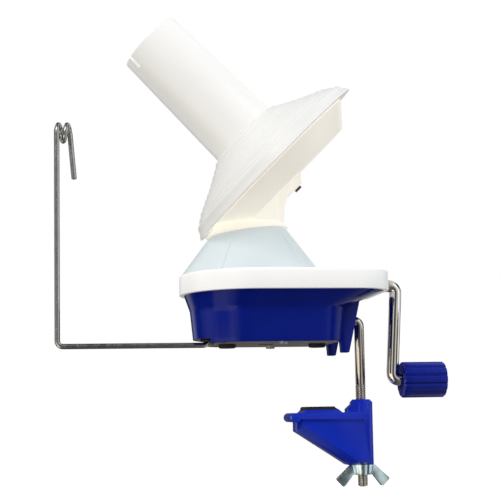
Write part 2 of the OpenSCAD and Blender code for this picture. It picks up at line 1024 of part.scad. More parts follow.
module spindle_bush() {
    color(nylon)
    on_spindle()
        translate([0, 0, -5])
            tube(5, shaft_r + run, 27);
}

module bobbin_gear() {
    color(nylon)
    on_spindle()
        difference() {
            union() {
                bevel_gear(bobbin_teeth, bobbin_pitch_r, bobbin_h, bobbin_turn);
                translate([0, 0, 24])
                    cylinder(r = 7.4, h = 4);
                translate([0, 0, 22])
                    cylinder(r = 5, h = 4);
            }
            cylinder(r = shaft_r + run, h = 60);
        }
}

// the bobbin gear's tooth space faces the sun gear's tooth in the plane of the two axes
bobbin_turn = 180 / bobbin_teeth;

// ---------- yarn guide ----------

function helix_dir(a) = [0, -cos(a), sin(a)];
function helix_at(a) = [-guide_x + eyelet_pitch * a / 360, eyelet_r, eyelet_z] + eyelet_r * helix_dir(a);

eyelet_step = 15;
eyelet_turn = 540;
tail_rings = 5;

// sweep of the wire along the eyelet's helix and its free tail
module eyelet() {
    sides = 16;
    helix_end = helix_at(eyelet_turn);
    tail_end = [tail_x, helix_end[1], tail_z];
    centres = concat([for (a = [0 : eyelet_step : eyelet_turn]) helix_at(a)],
        [for (i = [1 : tail_rings]) helix_end + (tail_end - helix_end) * i / tail_rings]);
    outs = concat([for (a = [0 : eyelet_step : eyelet_turn]) helix_dir(a)],
        [for (i = [1 : tail_rings]) helix_dir(eyelet_turn)]);
    last = len(centres) - 1;
    rings = [for (i = [0 : last])
        let (along = unit(centres[min(i + 1, last)] - centres[max(i - 1, 0)]))
        each ring_points(centres[i], along, outs[i], wire_r, sides)];
    ring_skin(rings, sides);
}

module guide_wire() {
    color(steel) {
        translate([pivot_x, 0, guide_z + guide_bend])
            cylinder(r = wire_r, h = 8.2);
        translate([pivot_x - guide_bend, 0, guide_z + guide_bend])
            elbow(guide_bend, wire_r, 270);
        translate([-guide_x + guide_bend, 0, guide_z])
            rotate([0, 90, 0])
                cylinder(r = wire_r, h = guide_x + pivot_x - 2 * guide_bend);
        translate([-guide_x + guide_bend, 0, guide_z + guide_bend])
            elbow(guide_bend, wire_r, 180);
        translate([-guide_x, 0, guide_z + guide_bend])
            cylinder(r = wire_r, h = eyelet_z - guide_z - guide_bend + 0.4);
        eyelet();
    }
}

module guide_clip() {
    color(steel)
    translate([pivot_x, 0, 12.2])
        tube(4, wire_r, 0.8);
}

// ---------- clamp ----------

module jaw_side(points, half_w) {
    translate([0, half_w, 0])
        rotate([90, 0, 0])
            linear_extrude(height = 2 * half_w)
                polygon(points);
}

pad_x0 = 28.6;
pad_x1 = 47;
pad_z = jaw_top + 1.6;

module clamp_jaw() {
    nose_r = 2.6;
    half_w = 14;
    color(clamp_blue)
    difference() {
        union() {
            // wedge body: full width at the side walls, narrow along the keel
            hull() {
                jaw_side([[26, jaw_top - 3], [60, jaw_top - 3], [64, -64.8], [57, -64.8],
                    [26, -43.6]], half_w - 1.6);
                jaw_side([[23.4, jaw_top - 4], [23.4, -47.6], [53, jaw_z0], [64, jaw_z0]], 6.5);
            }
            // top plate with its round nose
            jaw_side([[22, jaw_top], [62, jaw_top], [62, jaw_top - 4.2], [22, jaw_top - 3.4]], half_w);
            translate([22, half_w, jaw_top - nose_r])
                rotate([90, 0, 0])
                    cylinder(r = nose_r, h = 2 * half_w, $fn = 48);
            jaw_side([[26.2, jaw_top - 0.5], [pad_x0, pad_z], [pad_x1, pad_z],
                [49.4, jaw_top - 0.5]], 11);
            // post around the bolt, with a gusset
            translate([bolt_x, 0, jaw_z0])
                cylinder(r = 6.5, h = -31.6 - jaw_z0);
            translate([bolt_x, 0, -31.6])
                cylinder(r1 = 6.5, r2 = 5, h = 1.6);
            jaw_side([[53.6, jaw_top - 1], [53.6, -35.4], [59.6, -30], [62, -30],
                [62, jaw_top - 1]], 5);
        }
        translate([bolt_x, 0, -100])
            cylinder(r = bolt_r + 0.08, h = 100);
    }
}

module jaw_pad() {
    tooth = 1.84;
    teeth = floor((pad_x1 - pad_x0) / tooth);
    zigzag = [for (i = [0 : teeth - 1], k = [0 : 2])
        [pad_x0 + tooth * (i + (k == 0 ? 0.1 : k == 1 ? 0.5 : 0.9)),
            pad_z + (k == 1 ? 1.9 : 1.1)]];
    color(black)
    jaw_side(concat([[pad_x0, pad_z]], zigzag, [[pad_x1, pad_z]]), 11);
}

module wing_nut() {
    top_gap = 0.1;
    nut_z = jaw_z0 - top_gap;
    wing = [[3.8, 0], [7.3, -0.2], [15.3, -7.6], [15.1, -8.6], [11.6, -12.2], [10.4, -11.9],
        [5.2, -5.2], [3.8, -5.2]];
    color(zinc)
    translate([bolt_x, 0, nut_z])
        difference() {
            union() {
                translate([0, 0, -5.6])
                    cylinder(r1 = 5.2, r2 = 6.2, h = 5.6);
                for (a = [0, 180])
                    rotate([0, 0, a])
                        translate([0, 1.25, 0])
                            rotate([90, 0, 0])
                                linear_extrude(height = 2.5)
                                    polygon(wing);
            }
            translate([0, 0, -20])
                cylinder(r = bolt_r + 0.06, h = 40);
        }
}

lower_shell();
bottom_plate();
rubber_feet();
top_cover();
gear_cone();
centre_post();
thrust_washer();
sun_gear();
sun_gear_screw();
cover_screws();
plate_screws();
crank_bushes();
guide_bushing();
hook_bolt();
crank_rod();
crown_gear();
gear_pin();
stop_collar();
grip_clip();
crank_grip();
rotor_tube();
rotor_pinion();
carrier_shell();
spindle_shaft();
spindle_screw();
spindle_washer();
spindle_clip();
yarn_plate();
winding_tube();
spindle_bush();
bobbin_gear();
guide_wire();
guide_clip();
clamp_jaw();
jaw_pad();
wing_nut();
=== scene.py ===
"""Looks of the yarn ball winder: every visible CAD part gets a finished piece or a material of its own."""
import json
import math

import bmesh
import bpy
from mathutils import Matrix, Vector


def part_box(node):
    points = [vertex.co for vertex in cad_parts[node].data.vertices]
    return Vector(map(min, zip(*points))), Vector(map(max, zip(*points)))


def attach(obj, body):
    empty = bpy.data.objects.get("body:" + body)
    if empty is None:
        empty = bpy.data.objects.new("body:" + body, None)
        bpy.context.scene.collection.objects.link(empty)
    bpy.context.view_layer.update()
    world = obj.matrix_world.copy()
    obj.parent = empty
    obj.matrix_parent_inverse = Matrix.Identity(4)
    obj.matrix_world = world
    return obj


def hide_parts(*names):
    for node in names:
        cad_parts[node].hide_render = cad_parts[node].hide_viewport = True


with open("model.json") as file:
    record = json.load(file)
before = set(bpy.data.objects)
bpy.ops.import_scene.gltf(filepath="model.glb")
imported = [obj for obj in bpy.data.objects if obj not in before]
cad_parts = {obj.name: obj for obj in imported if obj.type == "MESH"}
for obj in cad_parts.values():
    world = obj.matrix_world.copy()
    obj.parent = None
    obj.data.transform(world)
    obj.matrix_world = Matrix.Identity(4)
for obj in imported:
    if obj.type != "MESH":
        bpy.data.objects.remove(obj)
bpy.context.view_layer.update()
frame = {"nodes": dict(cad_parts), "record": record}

# ---------- sizes, in millimetres unless a name says otherwise ----------
MM = 0.001


def node_box(node):
    low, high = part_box(node)
    return low / MM, high / MM


cover_low, cover_high = node_box("top_cover")
COVER_R = -cover_low.x
COVER_END = cover_high.x
COVER_Z0 = cover_low.z
COVER_Z1 = cover_high.z
COVER_CORNER = 20
SKIN = 2

SHELL_Z0 = node_box("bottom_plate")[0].z
SHELL_WAIST = 20.9
WAIST_X = -3.2
BAY_TOP = 4.9
BAY_REACH = 20.3
RIM_INSET = 2.6
POST_AT = (-18, 19)
FLANGE_SCREW_AT = (56, 24)
FLANGE_SEAT = 28.3
FEET_X = (-14.5, 37.3)
CONE_TOP = node_box("gear_cone")[1].z
CONE_TOP_R = 19.2
CONE_BASE_R = 40

TILT = math.radians(45)
APEX_Z = 120.2
TUBE_END = 80.2
TUBE_FOOT = -4.3
TUBE_R0 = 21.1
TUBE_R1 = 18.9
TUBE_BORE = 18.8
BORE_END = 17.6
SPIGOT_S = -12
RIM_S = 21.1
PLATE_R = 60.9
RIDGE_H = 0.9
RIDGE_R0 = 22.1
RIDGE_PITCH = 3.3
RIDGES = 11
WEB_S = -66
SHAFT_R = 3

ROD_START, rod_high = node_box("crank_rod")[0].x, node_box("crank_rod")[1]
grip_low, grip_high = node_box("crank_grip")
CRANK_R = 3.5
CRANK_Z = rod_high.z - CRANK_R
GRIP_Z = (grip_low.z + grip_high.z) / 2
GRIP_R = (grip_high.z - grip_low.z) / 2
ARM_TOP_X = 84.5
ARM_FOOT_X = 81.1
ARM_BEND = 4

wire_low, wire_high = node_box("guide_wire")
WIRE_R = 1.55
GUIDE_X = wire_low.x + WIRE_R
GUIDE_Z = wire_low.z + WIRE_R
PIVOT_X = -25
EYELET_R = 4.5
EYELET_Z = wire_high.z - WIRE_R - EYELET_R
EYELET_PITCH = 4.9
TAIL_X = -100
TAIL_Z = 98.2

bolt_low, bolt_high = node_box("hook_bolt")
BOLT_R = 3
BOLT_X = bolt_high.x - BOLT_R
SHANK_R = 2.8
HOOK_Z = bolt_high.z - SHANK_R
HOOK_BEND = 3.4
THREAD_TOP = -22
THREAD_PITCH = 1

# local Z runs along the spindle from the apex towards the crank side
SPINDLE = Matrix.Translation((0, 0, APEX_Z)) @ Matrix.Rotation(math.pi / 2 + TILT, 4, "Y")
ALONG_X = Matrix.Rotation(math.pi / 2, 4, "Y")


# ---------- mesh helpers ----------
def make_piece(name, body, material, slot, verts, faces, place=None, sharp=32):
    """A mesh object from points in millimetres, shaded smooth up to the sharp angle."""
    mesh = bpy.data.meshes.new(name)
    place = place or Matrix.Identity(4)
    mesh.from_pydata([(place @ Vector(v)) * MM for v in verts], [], faces)
    mesh.update()
    work = bmesh.new()
    work.from_mesh(mesh)
    bmesh.ops.recalc_face_normals(work, faces=work.faces)
    work.to_mesh(mesh)
    work.free()
    piece = bpy.data.objects.new(name, mesh)
    bpy.context.scene.collection.objects.link(piece)
    mesh.materials.append(material)
    shade(piece, sharp)
    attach(piece, body)
    return piece


def shade(piece, sharp=32):
    piece.data.shade_smooth()
    piece.data.set_sharp_from_angle(angle=math.radians(sharp))


def rounded(points, radius, steps=3, closed=True):
    """The outline with each real corner replaced by a small arc. Works in two or three dimensions."""
    points = [Vector(p) for p in points]
    count = len(points)
    out = []
    for i, p in enumerate(points):
        if not closed and i in (0, count - 1):
            out.append(p)
            continue
        a, b = points[i - 1] - p, points[(i + 1) % count] - p
        turn = math.pi - a.angle(b)
        if turn < math.radians(12):
            out.append(p)
            continue
        reach = min(radius * math.tan(turn / 2), a.length * 0.45, b.length * 0.45)
        start, end = p + a.normalized() * reach, p + b.normalized() * reach
        for k in range(steps + 1):
            t = k / steps
            out.append(start * (1 - t) ** 2 + p * 2 * t * (1 - t) + end * t ** 2)
    return out


def loft(rings, closed=False):
    """Quads between rings of equal length, with flat caps on an open stack."""
    n = len(rings[0])
    verts = [p for ring in rings for p in ring]
    spans = len(rings) if closed else len(rings) - 1
    faces = [(i * n + k, i * n + (k + 1) % n,
              (i + 1) % len(rings) * n + (k + 1) % n, (i + 1) % len(rings) * n + k)
             for i in range(spans) for k in range(n)]
    if not closed:
        faces.append(tuple(range(n)))
        faces.append(tuple(range(len(verts) - n, len(verts))))
    return verts, faces


def lathe(profile, steps=96, closed=True):
    """Turned solid about local Z from (radius, height) points."""
    rings = []
    for r, z in profile:
        rings.append([(r * math.cos(math.tau * k / steps), r * math.sin(math.tau * k / steps), z)
                      for k in range(steps)])
    return loft(rings, closed)


def ring_solid(r_out, r_in, z0, z1, soft=0.3, steps=64):
    return lathe(rounded([(r_in, z0), (r_out, z0), (r_out, z1), (r_in, z1)], soft), steps)


def disc_solid(r, z0, z1, soft=0.3, steps=64):
    tiny = 0.01
    return lathe(rounded([(tiny, z0), (r, z0), (r, z1), (tiny, z1)], soft, closed=False), steps, False)


def sweep(path, radius, sides=20, soft_ends=True):
    """Round wire along a path, with its frame carried along without twist and its ends rounded."""
    path = [Vector(p) for p in path]
    last = len(path) - 1
    tangents = [(path[min(i + 1, last)] - path[max(i - 1, 0)]).normalized() for i in range(last + 1)]
    normal = tangents[0].orthogonal().normalized()
    rings = []
    for p, t in zip(path, tangents):
        normal = (normal - t * normal.dot(t)).normalized()
        side = t.cross(normal)
        rings.append([p + radius * (math.cos(a) * normal + math.sin(a) * side)
                      for a in (math.tau * k / sides for k in range(sides))])
    if soft_ends:
        edge = 0.16 * radius
        for ring, p, t in ((rings[0], path[0], -tangents[0]), (rings[-1], path[-1], tangents[-1])):
            inner = [p + (q - p) * 0.84 for q in ring]
            ring[:] = [q - t * edge for q in ring]
            if ring is rings[0]:
                rings.insert(0, inner)
            else:
                rings.append(inner)
    return loft(rings)


def prism(outline, y0, y1):
    """Solid between two upright planes from an outline in X and Z."""
    return loft([[(x, y0, z) for x, z in outline], [(x, y1, z) for x, z in outline]])


def joined(*parts):
    verts, faces = [], []
    for part_verts, part_faces in parts:
        base = len(verts)
        verts += [tuple(v) for v in part_verts]
        faces += [tuple(base + i for i in face) for face in part_faces]
    return verts, faces


def moved(part, place):
    return [place @ Vector(v) for v in part[0]], part[1]


def bevel(piece, width, segments=3, angle=32):
    step = piece.modifiers.new("soft_edges", "BEVEL")
    step.width = width * MM
    step.segments = segments
    step.limit_method = "ANGLE"
    step.angle_limit = math.radians(angle)
    step.harden_normals = False
    apply_modifiers(piece)
    return piece


def apply_modifiers(piece):
    depsgraph = bpy.context.evaluated_depsgraph_get()
    mesh = bpy.data.meshes.new_from_object(piece.evaluated_get(depsgraph))
    piece.modifiers.clear()
    piece.data = mesh
    shade(piece)


def cut(piece, part, place=None):
    """Takes a closed solid, given in millimetres, out of a piece."""
    mesh = bpy.data.meshes.new("cutter")
    place = place or Matrix.Identity(4)
    mesh.from_pydata([(place @ Vector(v)) * MM for v in part[0]], [], part[1])
    tool = bpy.data.objects.new("cutter", mesh)
    bpy.context.scene.collection.objects.link(tool)
    work = bmesh.new()
    work.from_mesh(mesh)
    bmesh.ops.recalc_face_normals(work, faces=work.faces)
    work.to_mesh(mesh)
    work.free()
    step = piece.modifiers.new("cut", "BOOLEAN")
    step.operation = "DIFFERENCE"
    step.object = tool
    step.solver = "EXACT"
    apply_modifiers(piece)
    bpy.data.objects.remove(tool)
    return piece


def from_cad(node, body, material, width, segments=2, angle=32):
    """A welded copy of a CAD node with softened edges, which stands for the node."""
    source = frame["nodes"][node]
    work = bmesh.new()
    work.from_mesh(source.data)
    bmesh.ops.remove_doubles(work, verts=work.verts, dist=0.002 * MM)
    bmesh.ops.dissolve_limit(work, angle_limit=math.radians(0.6), verts=work.verts, edges=work.edges)
    mesh = bpy.data.meshes.new(node + "_piece")
    work.to_mesh(mesh)
    work.free()
    piece = bpy.data.objects.new(node + "_piece", mesh)
    bpy.context.scene.collection.objects.link(piece)
    mesh.materials.clear()
    mesh.materials.append(material)
    bevel(piece, width, segments, angle)
    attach(piece, body)
    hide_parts(node)
    return piece


# ---------- materials ----------
def start_material(name):
    material = bpy.data.materials.new(name)
    material.use_nodes = True
    nodes = material.node_tree.nodes
    return material, nodes, material.node_tree.links, nodes["Principled BSDF"]


def noise(nodes, links, scale, detail=4, stretch=(1, 1, 1), rough=0.55):
    place = nodes.new("ShaderNodeTexCoord")
    mapping = nodes.new("ShaderNodeMapping")
    mapping.inputs["Scale"].default_value = stretch
    texture = nodes.new("ShaderNodeTexNoise")
    texture.inputs["Scale"].default_value = scale
    texture.inputs["Detail"].default_value = detail
    texture.inputs["Roughness"].default_value = rough
    links.new(place.outputs["Object"], mapping.inputs["Vector"])
    links.new(mapping.outputs["Vector"], texture.inputs["Vector"])
    return texture.outputs["Fac"]


def spread(nodes, links, value, low, high, start=0.3, end=0.7):
    scale = nodes.new("ShaderNodeMapRange")
    scale.inputs["From Min"].default_value = start
    scale.inputs["From Max"].default_value = end
    scale.inputs["To Min"].default_value = low
    scale.inputs["To Max"].default_value = high
    links.new(value, scale.inputs["Value"])
    return scale.outputs["Result"]


def tint(nodes, links, value, dark, light):
    ramp = nodes.new("ShaderNodeValToRGB")
    ramp.color_ramp.elements[0].position = 0.3
    ramp.color_ramp.elements[0].color = (*dark, 1)
    ramp.color_ramp.elements[1].position = 0.7
    ramp.color_ramp.elements[1].color = (*light, 1)
    links.new(value, ramp.inputs["Fac"])
    return ramp.outputs["Color"]


def bumps(nodes, links, shader, layers):
    """Stacked bump layers of (height value, strength, depth in millimetres)."""
    previous = None
    for value, strength, depth in layers:
        node = nodes.new("ShaderNodeBump")
        node.inputs["Strength"].default_value = strength
        node.inputs["Distance"].default_value = depth * MM
        links.new(value, node.inputs["Height"])
        if previous:
            links.new(previous, node.inputs["Normal"])
        previous = node.outputs["Normal"]
    links.new(previous, shader.inputs["Normal"])


def moulded(name, colour, rough, coat=0.0, glow=0.0, shift=0.05, shine=0.5, painted_light=None):
    """Injection-moulded plastic: faint flow marks, fine grain, uneven gloss and small scuffs."""
    material, nodes, links, shader = start_material(name)
    dark = [c * (1 - shift) for c in colour]
    light = [min(c * (1 + shift), 1) for c in colour]
    links.new(tint(nodes, links, noise(nodes, links, 55, 5), dark, light), shader.inputs["Base Color"])
    gloss = noise(nodes, links, 260, 6)
    links.new(spread(nodes, links, gloss, rough * 0.8, rough * 1.3), shader.inputs["Roughness"])
    shader.inputs["Coat Weight"].default_value = coat
    shader.inputs["Specular IOR Level"].default_value = shine
    if painted_light:
        # painted light: an even emission makes the white parts glow brighter than the lamps light them; the pair gives
        # its colour and strength
        shader.inputs["Emission Color"].default_value = (*painted_light[0], 1)
        shader.inputs["Emission Strength"].default_value = painted_light[1]
    shader.inputs["Coat Roughness"].default_value = 0.08
    shader.inputs["Subsurface Weight"].default_value = glow
    shader.inputs["Subsurface Radius"].default_value = (1.0, 0.9, 0.75)
    shader.inputs["Subsurface Scale"].default_value = 2.5 * MM
    bumps(nodes, links, shader, [
        (noise(nodes, links, 38, 2), 0.05, 0.12),
        (noise(nodes, links, 1900, 3), 0.10, 0.05)])
    return material


def worked_metal(name, colour, rough, grain=(1, 1, 1), shift=0.12, grain_depth=0.02):
    """Bright metal: drawn or plated grain, uneven polish and faint stains."""
    material, nodes, links, shader = start_material(name)
    shader.inputs["Metallic"].default_value = 1.0
    dark = [c * (1 - shift) for c in colour]
    light = [min(c * (1 + shift), 1) for c in colour]
    links.new(tint(nodes, links, noise(nodes, links, 180, 6), dark, light), shader.inputs["Base Color"])
    polish = noise(nodes, links, 420, 5, grain)
    links.new(spread(nodes, links, polish, rough * 0.7, rough * 1.5), shader.inputs["Roughness"])
    bumps(nodes, links, shader, [
        (noise(nodes, links, 1400, 4, grain), 0.25, grain_depth),
        (noise(nodes, links, 300, 3), 0.10, 0.03)])
    return material


def soft_rubber(name, colour):
    material, nodes, links, shader = start_material(name)
    light = [c * 1.8 for c in colour]
    links.new(tint(nodes, links, noise(nodes, links, 700, 6), colour, light), shader.inputs["Base Color"])
    links.new(spread(nodes, links, noise(nodes, links, 500, 4), 0.55, 0.8), shader.inputs["Roughness"])
    bumps(nodes, links, shader, [(noise(nodes, links, 1500, 4), 0.4, 0.08)])
    return material


# colours of the painted light that the white parts emit
WARM_PAINTED_LIGHT = (1, 0.94, 0.82)
SOFT_PAINTED_LIGHT = (1, 0.98, 0.92)
MATERIALS = {
    "shell_blue": moulded("shell_blue", (0.002, 0.012, 0.235), 0.16, shift=0.1, shine=0.16),
    "clamp_blue": moulded("clamp_blue", (0.006, 0.030, 0.54), 0.17, shift=0.1, shine=0.2),
    "grip_blue": moulded("grip_blue", (0.0025, 0.013, 0.26), 0.16, shift=0.12, shine=0.2),
    "cover_white": moulded("cover_white", (0.86, 0.86, 0.86), 0.3, glow=0.08, shift=0.012, painted_light=((1, 1, 1), 0.24)),
    # the cone is white plastic: its blue-grey base colour is painted cool shade, and its pale blue emission is painted
    # light
    "cone_white": moulded("cone_white", (0.66, 0.73, 0.76), 0.35, glow=0.15, shift=0.015, painted_light=((0.8, 0.95, 1), 0.12)),
    # the carrier is white plastic: its warm cream base colour is painted warm shade from under the hat, and its warm
    # emission is painted light
    "carrier_white": moulded("carrier_white", (0.80, 0.77, 0.71), 0.35, glow=0.1, shift=0.012,
                             painted_light=(WARM_PAINTED_LIGHT, 0.38)),
    "plate_white": moulded("plate_white", (0.74, 0.745, 0.745), 0.35, glow=0.08, shift=0.012,
                           painted_light=(SOFT_PAINTED_LIGHT, 0.16)),
    "tube_white": moulded("tube_white", (0.74, 0.74, 0.735), 0.32, glow=0.08, shift=0.01, painted_light=((1, 0.985, 0.94), 0.27)),
    "nylon": moulded("nylon", (0.78, 0.74, 0.62), 0.45, glow=0.1),
    "black_plastic": moulded("black_plastic", (0.012, 0.012, 0.014), 0.35, shift=0.2),
    "galvanised": worked_metal("galvanised", (0.30, 0.285, 0.275), 0.42, shift=0.2, grain_depth=0.05),
    "steel": worked_metal("steel", (0.55, 0.55, 0.55), 0.3),
    "dark_steel": worked_metal("dark_steel", (0.06, 0.06, 0.065), 0.35),
    "bolt_zinc": worked_metal("bolt_zinc", (0.56, 0.53, 0.50), 0.14, (1, 1, 0.1), 0.08, 0.01),
    "chrome": worked_metal("chrome", (0.74, 0.71, 0.68), 0.07, (1, 1, 1), 0.04, 0.008),
    "wire_steel": worked_metal("wire_steel", (0.42, 0.42, 0.42), 0.2, (1, 1, 1), 0.08, 0.006),
    "nut_zinc": worked_metal("nut_zinc", (0.66, 0.84, 0.95), 0.22),
    "rubber": soft_rubber("rubber", (0.006, 0.006, 0.007)),
}

NODE_SLOT = {row["node"]: row["material_slot"] for row in frame["record"]["subparts"]}
NODE_BODY = {n: body for body, ns in frame["record"]["behaviour"]["bodies"].items() for n in ns}
for node, part in frame["nodes"].items():
    part.data.materials.clear()
    part.data.materials.append(MATERIALS[NODE_SLOT[node]])
    shade(part)


def stand_for(node, solid, place=None, sharp=32):
    """A finished piece with a node's body and the material of its slot, which hides the node and stands for it."""
    slot = NODE_SLOT[node]
    piece = make_piece(node + "_piece", NODE_BODY[node], MATERIALS[slot], slot, *solid, place, sharp)
    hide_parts(node)
    return piece


def add_detail(name, node, solid, place=None, sharp=32):
    """A further piece beside the one that stands for a node, with the same body and finish."""
    slot = NODE_SLOT[node]
    return make_piece(name, NODE_BODY[node], MATERIALS[slot], slot, *solid, place, sharp)


# ---------- housing ----------
def plan_ring(r, end, corner, z, shift=0.0):
    """Outline of the housing at a height: round at the rotor end, rounded corners at the crank end."""
    half = 28
    ring = []
    for k in range(2 * half + 1):
        a = math.pi / 2 + math.pi * k / (2 * half)
        ring.append((shift + r * math.cos(a), r * math.sin(a), z))
    for k in range(1, 12):
        ring.append((shift + (end - corner) * k / 12, -r, z))
    for k in range(17):
        a = -math.pi / 2 + math.pi / 2 * k / 16
        ring.append((shift + end - corner + corner * math.cos(a), corner - r + corner * math.sin(a), z))
    for k in range(1, 8):
        ring.append((shift + end, (corner - r) + 2 * (r - corner) * k / 8, z))
    for k in range(17):
        a = math.pi / 2 * k / 16
        ring.append((shift + end - corner + corner * math.cos(a), r - corner + corner * math.sin(a), z))
    for k in range(11, 0, -1):
        ring.append((shift + (end - corner) * k / 12, r, z))
    return ring


def cover_ring(inset, z):
    return plan_ring(COVER_R - inset, COVER_END - inset, COVER_CORNER - inset, z)


def circle_like(ring, r, z):
    """Circle about the rotor axis whose points lie in the same directions as a ring's."""
    return [(r * math.cos(a), r * math.sin(a), z) for a in (math.atan2(y, x) for x, y, _ in ring)]


def build_cover():
    top = COVER_Z1
    fillet = 1.5
    ledge = 3.5
    rings = [cover_ring(ledge, COVER_Z0 + 0.3), cover_ring(ledge - 0.3, COVER_Z0), cover_ring(0.35, COVER_Z0),
             cover_ring(0.1, COVER_Z0 + 0.1), cover_ring(0, COVER_Z0 + 0.35)]
    for k in range(6):
        a = math.pi / 2 * k / 5
        rings.append(cover_ring(fillet * (1 - math.cos(a)), top - fillet + fillet * math.sin(a)))
    outline = cover_ring(0, top)
    rings += [circle_like(outline, CONE_BASE_R - 0.4, top), circle_like(outline, 37.6, top),
              circle_like(outline, 37.6, top - SKIN), cover_ring(SKIN + 0.4, top - SKIN),
              cover_ring(SKIN, top - SKIN - 0.4), cover_ring(SKIN, COVER_Z0 + 1.6), cover_ring(ledge, COVER_Z0 + 1.6)]
    piece = stand_for("top_cover", loft(rings, closed=True))
    shaft_hole = disc_solid(4.4, 60, 85)
    cut(piece, shaft_hole, Matrix.Translation((0, 0, CRANK_Z)) @ ALONG_X)
    return piece


def build_shell():
    steps = 8
    inset = RIM_INSET
    rim = (COVER_R - inset, COVER_END - inset, COVER_CORNER - inset)
    rings = [plan_ring(29, 48.8, 10, SHELL_Z0 + 1.2, WAIST_X), plan_ring(29, 48.8, 10, SHELL_Z0 + 0.2, WAIST_X),
             plan_ring(29.2, 49, 10.1, SHELL_Z0, WAIST_X), plan_ring(30, 49.8, 10.7, SHELL_Z0, WAIST_X),
             plan_ring(30.3, 50.1, 10.9, SHELL_Z0 + 0.15, WAIST_X)]
    for k in range(steps):
        t = k / steps
        rings.append(plan_ring(30.4 + 1.8 * t, 50.2 + 1.8 * t, 11 + t,
                               SHELL_Z0 + 0.5 + (SHELL_WAIST - SHELL_Z0 - 0.5) * t, WAIST_X))
    for k in range(steps + 1):
        t = k / steps
        rings.append(plan_ring(32.2 + (rim[0] - 32.2) * t, 52 + (rim[1] - 52) * t, 12 + (rim[2] - 12) * t,
                               SHELL_WAIST + (COVER_Z0 - 0.02 - SHELL_WAIST) * t, WAIST_X * (1 - t)))
    rings += [cover_ring(inset + 2, COVER_Z0 - 0.02), plan_ring(30.2, 50, 11, SHELL_WAIST + 1.2, WAIST_X),
              plan_ring(28.4, 48.4, 10, SHELL_Z0 + 3.2, WAIST_X - 0.2)]
    piece = stand_for("lower_shell", loft(rings))
    bay = Matrix.Translation((PIVOT_X, 0, 0))
    cut(piece, disc_solid(5.2, -5, BAY_TOP, 0.05), bay)
    reach = BAY_REACH
    fan = [(2, -math.sqrt(reach ** 2 - 4))]
    start = math.atan2(fan[0][1], 2) - math.tau
    for k in range(1, 32):
        a = start + (math.tau - 2 * math.acos(2 / reach)) * -k / 32
        fan.append((reach * math.cos(a), reach * math.sin(a)))
    fan.append((2, math.sqrt(reach ** 2 - 4)))
    cut(piece, loft([[(x, y, z) for x, y in fan] for z in (-5, BAY_TOP)]), bay)
    stop = [(44.5, 26), (58.5, 26), (51.7, -4), (47.1, -4)]
    for name, y in (("table_stop_near", -20.3), ("table_stop_far", 15.7)):
        bevel(add_detail(name, "lower_shell", prism(stop, y, y + 4.6)), 0.6)
    add_detail("pivot_pad", "lower_shell", ring_solid(6.4, 4.3, BAY_TOP + 0.02, 11.8), bay)
    roof = [plan_ring(28.6, 30, 10, z, WAIST_X) for z in (BAY_TOP + 0.02, 6.8)]
    cut(add_detail("bay_roof", "lower_shell", loft(roof)), disc_solid(4.25, 0, 20), bay)
    add_detail("hook_socket", "lower_shell", ring_solid(5.6, 2.85, 40, 48.4, 0.5),
               Matrix.Translation((0, 0, HOOK_Z)) @ ALONG_X)
    for side in (-1, 1):
        label = "near" if side < 0 else "far"
        add_detail("shell_post_" + label, "lower_shell", ring_solid(4.4, 1.6, 12.2, COVER_Z0),
                   Matrix.Translation((POST_AT[0], POST_AT[1] * side, 0)))
        spot = Matrix.Translation((FLANGE_SCREW_AT[0], FLANGE_SCREW_AT[1] * side, 0))
        cut(piece, disc_solid(3.1, 10, FLANGE_SEAT, 0.05), spot)
        add_detail("flange_post_" + label, "lower_shell", ring_solid(4.2, 1.6, FLANGE_SEAT, COVER_Z0, 0.4), spot)
    pillar = [(25.6, 5), (29.6, 5), (29.6, CRANK_Z - 4.4), (25.6, CRANK_Z - 4.4)]
    bevel(add_detail("bearing_pillar", "lower_shell", prism(pillar, -8, 8)), 0.3)


def build_cone():
    slope = (CONE_BASE_R - CONE_TOP_R) / (CONE_TOP - COVER_Z1)
    outline = rounded([(37.6, COVER_Z1 - 5), (37.6, COVER_Z1 - 0.05), (CONE_BASE_R, COVER_Z1 + 0.02),
                       (CONE_TOP_R, CONE_TOP), (CONE_TOP_R - 2.3, CONE_TOP), (37.5, COVER_Z1),
                       (35.8, COVER_Z1 - 2), (35.8, COVER_Z1 - 5)], 0.35)
    parts = [lathe(outline, 128)]
    foot_z, head_z = COVER_Z1, 60.4
    head_r = CONE_TOP_R + slope * (CONE_TOP - head_z)
    rib = rounded([(38, foot_z + 0.2), (40.4, foot_z + 0.2), (head_r + 0.5, head_z), (head_r - 1, head_z)], 0.3)
    for i in range(5):
        turn = Matrix.Rotation(math.radians(-50 + 72 * i), 4, "Z")
        parts.append(moved(prism(rib, -0.6, 0.6), turn))
    return stand_for("gear_cone", joined(*parts))


def build_bolt():
    """Hook bolt with a cut helical thread."""
    start = bolt_low.z
    depth, steps, per_turn = 0.5, 40, 10
    path = rounded([(41, 0, HOOK_Z), (BOLT_X, 0, HOOK_Z), (BOLT_X, 0, THREAD_TOP)], HOOK_BEND, 10, False)
    shank = sweep(path, SHANK_R, 28)
    rings = []
    rows = int((THREAD_TOP + 1 - start) / THREAD_PITCH * per_turn)
    for row in range(rows + 1):
        z = start + row * THREAD_PITCH / per_turn
        fade = min(1, row / 6, (rows - row) / 8)
        ring = []
        for k in range(steps):
            phase = (z / THREAD_PITCH - k / steps) % 1
            crest = min(1, 2.6 * abs(phase - 0.5))
            r = BOLT_R - depth + depth * crest * fade - 0.9 * max(0, 1 - row / 6)
            a = math.tau * k / steps
            ring.append((BOLT_X + r * math.cos(a), r * math.sin(a), z))
        rings.append(ring)
    return stand_for("hook_bolt", joined(shank, loft(rings)), sharp=50)


